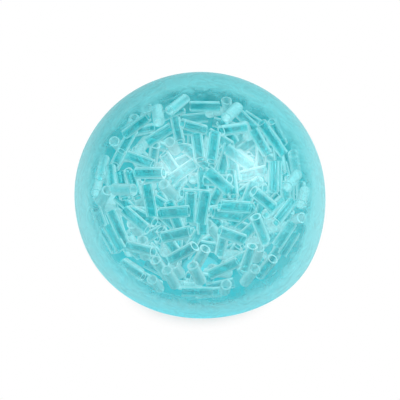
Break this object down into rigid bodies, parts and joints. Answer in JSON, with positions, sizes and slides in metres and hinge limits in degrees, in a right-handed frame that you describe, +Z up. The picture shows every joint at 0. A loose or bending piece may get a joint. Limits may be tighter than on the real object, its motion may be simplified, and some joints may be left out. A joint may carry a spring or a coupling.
{
  "type": "crunchy stress ball",
  "caption": "Soft translucent squeeze ball: a thick rubber skin, plugged at its base, full of loose cut plastic tubes that crunch when it is pressed.",
  "frame": {"origin": "centre of the ball's outline, on the surface that it rests on", "axes": "+Z up through the crown, -Y towards the pictured front, +X to its right"},
  "size_m": [0.0702, 0.0696, 0.0635],
  "materials": {
    "aqua_skin": "soft gloss, translucent",
    "aqua_plug": "satin",
    "clear_tube": "gloss, clear"
  },
  "bodies": {
    "ball": {"skin": "aqua_skin", "fill_plug": "aqua_plug"},
    "tube_01": {"crunch_tube_01": "clear_tube"},
    "tube_02": {"crunch_tube_02": "clear_tube"},
    "tube_03": {"crunch_tube_03": "clear_tube"},
    "tube_04": {"crunch_tube_04": "clear_tube"},
    "tube_05": {"crunch_tube_05": "clear_tube"},
    "tube_06": {"crunch_tube_06": "clear_tube"},
    "tube_07": {"crunch_tube_07": "clear_tube"},
    "tube_08": {"crunch_tube_08": "clear_tube"},
    "tube_09": {"crunch_tube_09": "clear_tube"},
    "tube_10": {"crunch_tube_10": "clear_tube"},
    "tube_11": {"crunch_tube_11": "clear_tube"},
    "tube_12": {"crunch_tube_12": "clear_tube"},
    "tube_13": {"crunch_tube_13": "clear_tube"},
    "tube_14": {"crunch_tube_14": "clear_tube"},
    "tube_15": {"crunch_tube_15": "clear_tube"},
    "tube_16": {"crunch_tube_16": "clear_tube"},
    "tube_17": {"crunch_tube_17": "clear_tube"},
    "tube_18": {"crunch_tube_18": "clear_tube"},
    "tube_19": {"crunch_tube_19": "clear_tube"},
    "tube_20": {"crunch_tube_20": "clear_tube"},
    "tube_21": {"crunch_tube_21": "clear_tube"},
    "tube_22": {"crunch_tube_22": "clear_tube"},
    "tube_23": {"crunch_tube_23": "clear_tube"},
    "tube_24": {"crunch_tube_24": "clear_tube"},
    "tube_25": {"crunch_tube_25": "clear_tube"},
    "tube_26": {"crunch_tube_26": "clear_tube"},
    "tube_27": {"crunch_tube_27": "clear_tube"},
    "tube_28": {"crunch_tube_28": "clear_tube"},
    "tube_29": {"crunch_tube_29": "clear_tube"},
    "tube_30": {"crunch_tube_30": "clear_tube"},
    "tube_31": {"crunch_tube_31": "clear_tube"},
    "tube_32": {"crunch_tube_32": "clear_tube"},
    "tube_33": {"crunch_tube_33": "clear_tube"},
    "tube_34": {"crunch_tube_34": "clear_tube"},
    "tube_35": {"crunch_tube_35": "clear_tube"},
    "tube_36": {"crunch_tube_36": "clear_tube"},
    "tube_37": {"crunch_tube_37": "clear_tube"},
    "tube_38": {"crunch_tube_38": "clear_tube"},
    "tube_39": {"crunch_tube_39": "clear_tube"},
    "tube_40": {"crunch_tube_40": "clear_tube"},
    "tube_41": {"crunch_tube_41": "clear_tube"},
    "tube_42": {"crunch_tube_42": "clear_tube"},
    "tube_43": {"crunch_tube_43": "clear_tube"},
    "tube_44": {"crunch_tube_44": "clear_tube"},
    "tube_45": {"crunch_tube_45": "clear_tube"},
    "tube_46": {"crunch_tube_46": "clear_tube"},
    "tube_47": {"crunch_tube_47": "clear_tube"},
    "tube_48": {"crunch_tube_48": "clear_tube"},
    "tube_49": {"crunch_tube_49": "clear_tube"},
    "tube_50": {"crunch_tube_50": "clear_tube"},
    "tube_51": {"crunch_tube_51": "clear_tube"},
    "tube_52": {"crunch_tube_52": "clear_tube"},
    "tube_53": {"crunch_tube_53": "clear_tube"},
    "tube_54": {"crunch_tube_54": "clear_tube"},
    "tube_55": {"crunch_tube_55": "clear_tube"},
    "tube_56": {"crunch_tube_56": "clear_tube"},
    "tube_57": {"crunch_tube_57": "clear_tube"},
    "tube_58": {"crunch_tube_58": "clear_tube"}
  },
  "joints": [
    {"name": "squeeze", "type": "slide", "parent": "ball", "child": "tube_39", "axis": [0, 0, -1], "range_m": [0, 0.00902], "stiffness_N_per_m": 20, "deforming": ["skin"]},
    {"name": "press_01", "type": "slide", "parent": "ball", "child": "tube_01", "axis": [0, 0, -1], "range_m": [0, 0.00396]},
    {"name": "press_02", "type": "slide", "parent": "ball", "child": "tube_02", "axis": [0, 0, -1], "range_m": [0, 0.0074]},
    {"name": "press_03", "type": "slide", "parent": "ball", "child": "tube_03", "axis": [0, 0, -1], "range_m": [0, 0.00768]},
    {"name": "press_04", "type": "slide", "parent": "ball", "child": "tube_04", "axis": [0, 0, -1], "range_m": [0, 0.00649]},
    {"name": "press_05", "type": "slide", "parent": "ball", "child": "tube_05", "axis": [0, 0, -1], "range_m": [0, 0.00648]},
    {"name": "press_06", "type": "slide", "parent": "ball", "child": "tube_06", "axis": [0, 0, -1], "range_m": [0, 0.00535]},
    {"name": "press_07", "type": "slide", "parent": "ball", "child": "tube_07", "axis": [0, 0, -1], "range_m": [0, 0.00445]},
    {"name": "press_08", "type": "slide", "parent": "ball", "child": "tube_08", "axis": [0, 0, -1], "range_m": [0, 0.00527]},
    {"name": "press_09", "type": "slide", "parent": "ball", "child": "tube_09", "axis": [0, 0, -1], "range_m": [0, 0.00546]},
    {"name": "press_10", "type": "slide", "parent": "ball", "child": "tube_10", "axis": [0, 0, -1], "range_m": [0, 0.00692]},
    {"name": "press_11", "type": "slide", "parent": "ball", "child": "tube_11", "axis": [0, 0, -1], "range_m": [0, 0.00803]},
    {"name": "press_12", "type": "slide", "parent": "ball", "child": "tube_12", "axis": [0, 0, -1], "range_m": [0, 0.00769]},
    {"name": "press_13", "type": "slide", "parent": "ball", "child": "tube_13", "axis": [0, 0, -1], "range_m": [0, 0.00794]},
    {"name": "press_14", "type": "slide", "parent": "ball", "child": "tube_14", "axis": [0, 0, -1], "range_m": [0, 0.00737]},
    {"name": "press_15", "type": "slide", "parent": "ball", "child": "tube_15", "axis": [0, 0, -1], "range_m": [0, 0.00833]},
    {"name": "press_16", "type": "slide", "parent": "ball", "child": "tube_16", "axis": [0, 0, -1], "range_m": [0, 0.00816]},
    {"name": "press_17", "type": "slide", "parent": "ball", "child": "tube_17", "axis": [0, 0, -1], "range_m": [0, 0.00642]},
    {"name": "press_18", "type": "slide", "parent": "ball", "child": "tube_18", "axis": [0, 0, -1], "range_m": [0, 0.00637]},
    {"name": "press_19", "type": "slide", "parent": "ball", "child": "tube_19", "axis": [0, 0, -1], "range_m": [0, 0.00592]},
    {"name": "press_20", "type": "slide", "parent": "ball", "child": "tube_20", "axis": [0, 0, -1], "range_m": [0, 0.0052]},
    {"name": "press_21", "type": "slide", "parent": "ball", "child": "tube_21", "axis": [0, 0, -1], "range_m": [0, 0.00368]},
    {"name": "press_22", "type": "slide", "parent": "ball", "child": "tube_22", "axis": [0, 0, -1], "range_m": [0, 0.00296]},
    {"name": "press_23", "type": "slide", "parent": "ball", "child": "tube_23", "axis": [0, 0, -1], "range_m": [0, 0.00362]},
    {"name": "press_24", "type": "slide", "parent": "ball", "child": "tube_24", "axis": [0, 0, -1], "range_m": [0, 0.00338]},
    {"name": "press_25", "type": "slide", "parent": "ball", "child": "tube_25", "axis": [0, 0, -1], "range_m": [0, 0.0042]},
    {"name": "press_26", "type": "slide", "parent": "ball", "child": "tube_26", "axis": [0, 0, -1], "range_m": [0, 0.00356]},
    {"name": "press_27", "type": "slide", "parent": "ball", "child": "tube_27", "axis": [0, 0, -1], "range_m": [0, 0.00492]},
    {"name": "press_28", "type": "slide", "parent": "ball", "child": "tube_28", "axis": [0, 0, -1], "range_m": [0, 0.00554]},
    {"name": "press_29", "type": "slide", "parent": "ball", "child": "tube_29", "axis": [0, 0, -1], "range_m": [0, 0.00627]},
    {"name": "press_30", "type": "slide", "parent": "ball", "child": "tube_30", "axis": [0, 0, -1], "range_m": [0, 0.00648]},
    {"name": "press_31", "type": "slide", "parent": "ball", "child": "tube_31", "axis": [0, 0, -1], "range_m": [0, 0.00869]},
    {"name": "press_32", "type": "slide", "parent": "ball", "child": "tube_32", "axis": [0, 0, -1], "range_m": [0, 0.00844]},
    {"name": "press_33", "type": "slide", "parent": "ball", "child": "tube_33", "axis": [0, 0, -1], "range_m": [0, 0.00882]},
    {"name": "press_34", "type": "slide", "parent": "ball", "child": "tube_34", "axis": [0, 0, -1], "range_m": [0, 0.00852]},
    {"name": "press_35", "type": "slide", "parent": "ball", "child": "tube_35", "axis": [0, 0, -1], "range_m": [0, 0.00894]},
    {"name": "press_36", "type": "slide", "parent": "ball", "child": "tube_36", "axis": [0, 0, -1], "range_m": [0, 0.0081]},
    {"name": "press_37", "type": "slide", "parent": "ball", "child": "tube_37", "axis": [0, 0, -1], "range_m": [0, 0.00206]},
    {"name": "press_38", "type": "slide", "parent": "ball", "child": "tube_38", "axis": [0, 0, -1], "range_m": [0, 0.00203]},
    {"name": "press_40", "type": "slide", "parent": "ball", "child": "tube_40", "axis": [0, 0, -1], "range_m": [0, 0.00256]},
    {"name": "press_41", "type": "slide", "parent": "ball", "child": "tube_41", "axis": [0, 0, -1], "range_m": [0, 0.00229]},
    {"name": "press_42", "type": "slide", "parent": "ball", "child": "tube_42", "axis": [0, 0, -1], "range_m": [0, 0.00382]},
    {"name": "press_43", "type": "slide", "parent": "ball", "child": "tube_43", "axis": [0, 0, -1], "range_m": [0, 0.00121]},
    {"name": "press_44", "type": "slide", "parent": "ball", "child": "tube_44", "axis": [0, 0, -1], "range_m": [0, 0.00484]},
    {"name": "press_45", "type": "slide", "parent": "ball", "child": "tube_45", "axis": [0, 0, -1], "range_m": [0, 0.00236]},
    {"name": "press_46", "type": "slide", "parent": "ball", "child": "tube_46", "axis": [0, 0, -1], "range_m": [0, 0.00165]},
    {"name": "press_47", "type": "slide", "parent": "ball", "child": "tube_47", "axis": [0, 0, -1], "range_m": [0, 0.00627]},
    {"name": "press_48", "type": "slide", "parent": "ball", "child": "tube_48", "axis": [0, 0, -1], "range_m": [0, 0.0012]},
    {"name": "press_49", "type": "slide", "parent": "ball", "child": "tube_49", "axis": [0, 0, -1], "range_m": [0, 0.00478]},
    {"name": "press_50", "type": "slide", "parent": "ball", "child": "tube_50", "axis": [0, 0, -1], "range_m": [0, 0.00511]},
    {"name": "press_51", "type": "slide", "parent": "ball", "child": "tube_51", "axis": [0, 0, -1], "range_m": [0, 0.00111]},
    {"name": "press_52", "type": "slide", "parent": "ball", "child": "tube_52", "axis": [0, 0, -1], "range_m": [0, 0.00717]},
    {"name": "press_53", "type": "slide", "parent": "ball", "child": "tube_53", "axis": [0, 0, -1], "range_m": [0, 0.00222]},
    {"name": "press_54", "type": "slide", "parent": "ball", "child": "tube_54", "axis": [0, 0, -1], "range_m": [0, 0.00321]},
    {"name": "press_55", "type": "slide", "parent": "ball", "child": "tube_55", "axis": [0, 0, -1], "range_m": [0, 0.00744]},
    {"name": "press_56", "type": "slide", "parent": "ball", "child": "tube_56", "axis": [0, 0, -1], "range_m": [0, 0.00121]},
    {"name": "press_57", "type": "slide", "parent": "ball", "child": "tube_57", "axis": [0, 0, -1], "range_m": [0, 0.00684]},
    {"name": "press_58", "type": "slide", "parent": "ball", "child": "tube_58", "axis": [0, 0, -1], "range_m": [0, 0.00499]}
  ],
  "couplings": [
    {"joint": "press_01", "follows": "squeeze", "ratio": 0.4375},
    {"joint": "press_02", "follows": "squeeze", "ratio": 0.8197},
    {"joint": "press_03", "follows": "squeeze", "ratio": 0.8508},
    {"joint": "press_04", "follows": "squeeze", "ratio": 0.7185},
    {"joint": "press_05", "follows": "squeeze", "ratio": 0.7173},
    {"joint": "press_06", "follows": "squeeze", "ratio": 0.5918},
    {"joint": "press_07", "follows": "squeeze", "ratio": 0.4918},
    {"joint": "press_08", "follows": "squeeze", "ratio": 0.5827},
    {"joint": "press_09", "follows": "squeeze", "ratio": 0.6042},
    {"joint": "press_10", "follows": "squeeze", "ratio": 0.7658},
    {"joint": "press_11", "follows": "squeeze", "ratio": 0.889},
    {"joint": "press_12", "follows": "squeeze", "ratio": 0.8517},
    {"joint": "press_13", "follows": "squeeze", "ratio": 0.8795},
    {"joint": "press_14", "follows": "squeeze", "ratio": 0.8156},
    {"joint": "press_15", "follows": "squeeze", "ratio": 0.922},
    {"joint": "press_16", "follows": "squeeze", "ratio": 0.9041},
    {"joint": "press_17", "follows": "squeeze", "ratio": 0.7106},
    {"joint": "press_18", "follows": "squeeze", "ratio": 0.7052},
    {"joint": "press_19", "follows": "squeeze", "ratio": 0.6553},
    {"joint": "press_20", "follows": "squeeze", "ratio": 0.5752},
    {"joint": "press_21", "follows": "squeeze", "ratio": 0.4068},
    {"joint": "press_22", "follows": "squeeze", "ratio": 0.3274},
    {"joint": "press_23", "follows": "squeeze", "ratio": 0.3997},
    {"joint": "press_24", "follows": "squeeze", "ratio": 0.3734},
    {"joint": "press_25", "follows": "squeeze", "ratio": 0.465},
    {"joint": "press_26", "follows": "squeeze", "ratio": 0.3932},
    {"joint": "press_27", "follows": "squeeze", "ratio": 0.544},
    {"joint": "press_28", "follows": "squeeze", "ratio": 0.613},
    {"joint": "press_29", "follows": "squeeze", "ratio": 0.6941},
    {"joint": "press_30", "follows": "squeeze", "ratio": 0.7173},
    {"joint": "press_31", "follows": "squeeze", "ratio": 0.9626},
    {"joint": "press_32", "follows": "squeeze", "ratio": 0.9347},
    {"joint": "press_33", "follows": "squeeze", "ratio": 0.9769},
    {"joint": "press_34", "follows": "squeeze", "ratio": 0.9437},
    {"joint": "press_35", "follows": "squeeze", "ratio": 0.9896},
    {"joint": "press_36", "follows": "squeeze", "ratio": 0.8973},
    {"joint": "press_37", "follows": "squeeze", "ratio": 0.2269},
    {"joint": "press_38", "follows": "squeeze", "ratio": 0.2239},
    {"joint": "press_40", "follows": "squeeze", "ratio": 0.2831},
    {"joint": "press_41", "follows": "squeeze", "ratio": 0.2529},
    {"joint": "press_42", "follows": "squeeze", "ratio": 0.422},
    {"joint": "press_43", "follows": "squeeze", "ratio": 0.1331},
    {"joint": "press_44", "follows": "squeeze", "ratio": 0.5358},
    {"joint": "press_45", "follows": "squeeze", "ratio": 0.2605},
    {"joint": "press_46", "follows": "squeeze", "ratio": 0.1815},
    {"joint": "press_47", "follows": "squeeze", "ratio": 0.6936},
    {"joint": "press_48", "follows": "squeeze", "ratio": 0.1315},
    {"joint": "press_49", "follows": "squeeze", "ratio": 0.5284},
    {"joint": "press_50", "follows": "squeeze", "ratio": 0.5652},
    {"joint": "press_51", "follows": "squeeze", "ratio": 0.1224},
    {"joint": "press_52", "follows": "squeeze", "ratio": 0.7939},
    {"joint": "press_53", "follows": "squeeze", "ratio": 0.2451},
    {"joint": "press_54", "follows": "squeeze", "ratio": 0.3545},
    {"joint": "press_55", "follows": "squeeze", "ratio": 0.8239},
    {"joint": "press_56", "follows": "squeeze", "ratio": 0.1332},
    {"joint": "press_57", "follows": "squeeze", "ratio": 0.7571},
    {"joint": "press_58", "follows": "squeeze", "ratio": 0.552}
  ]
}
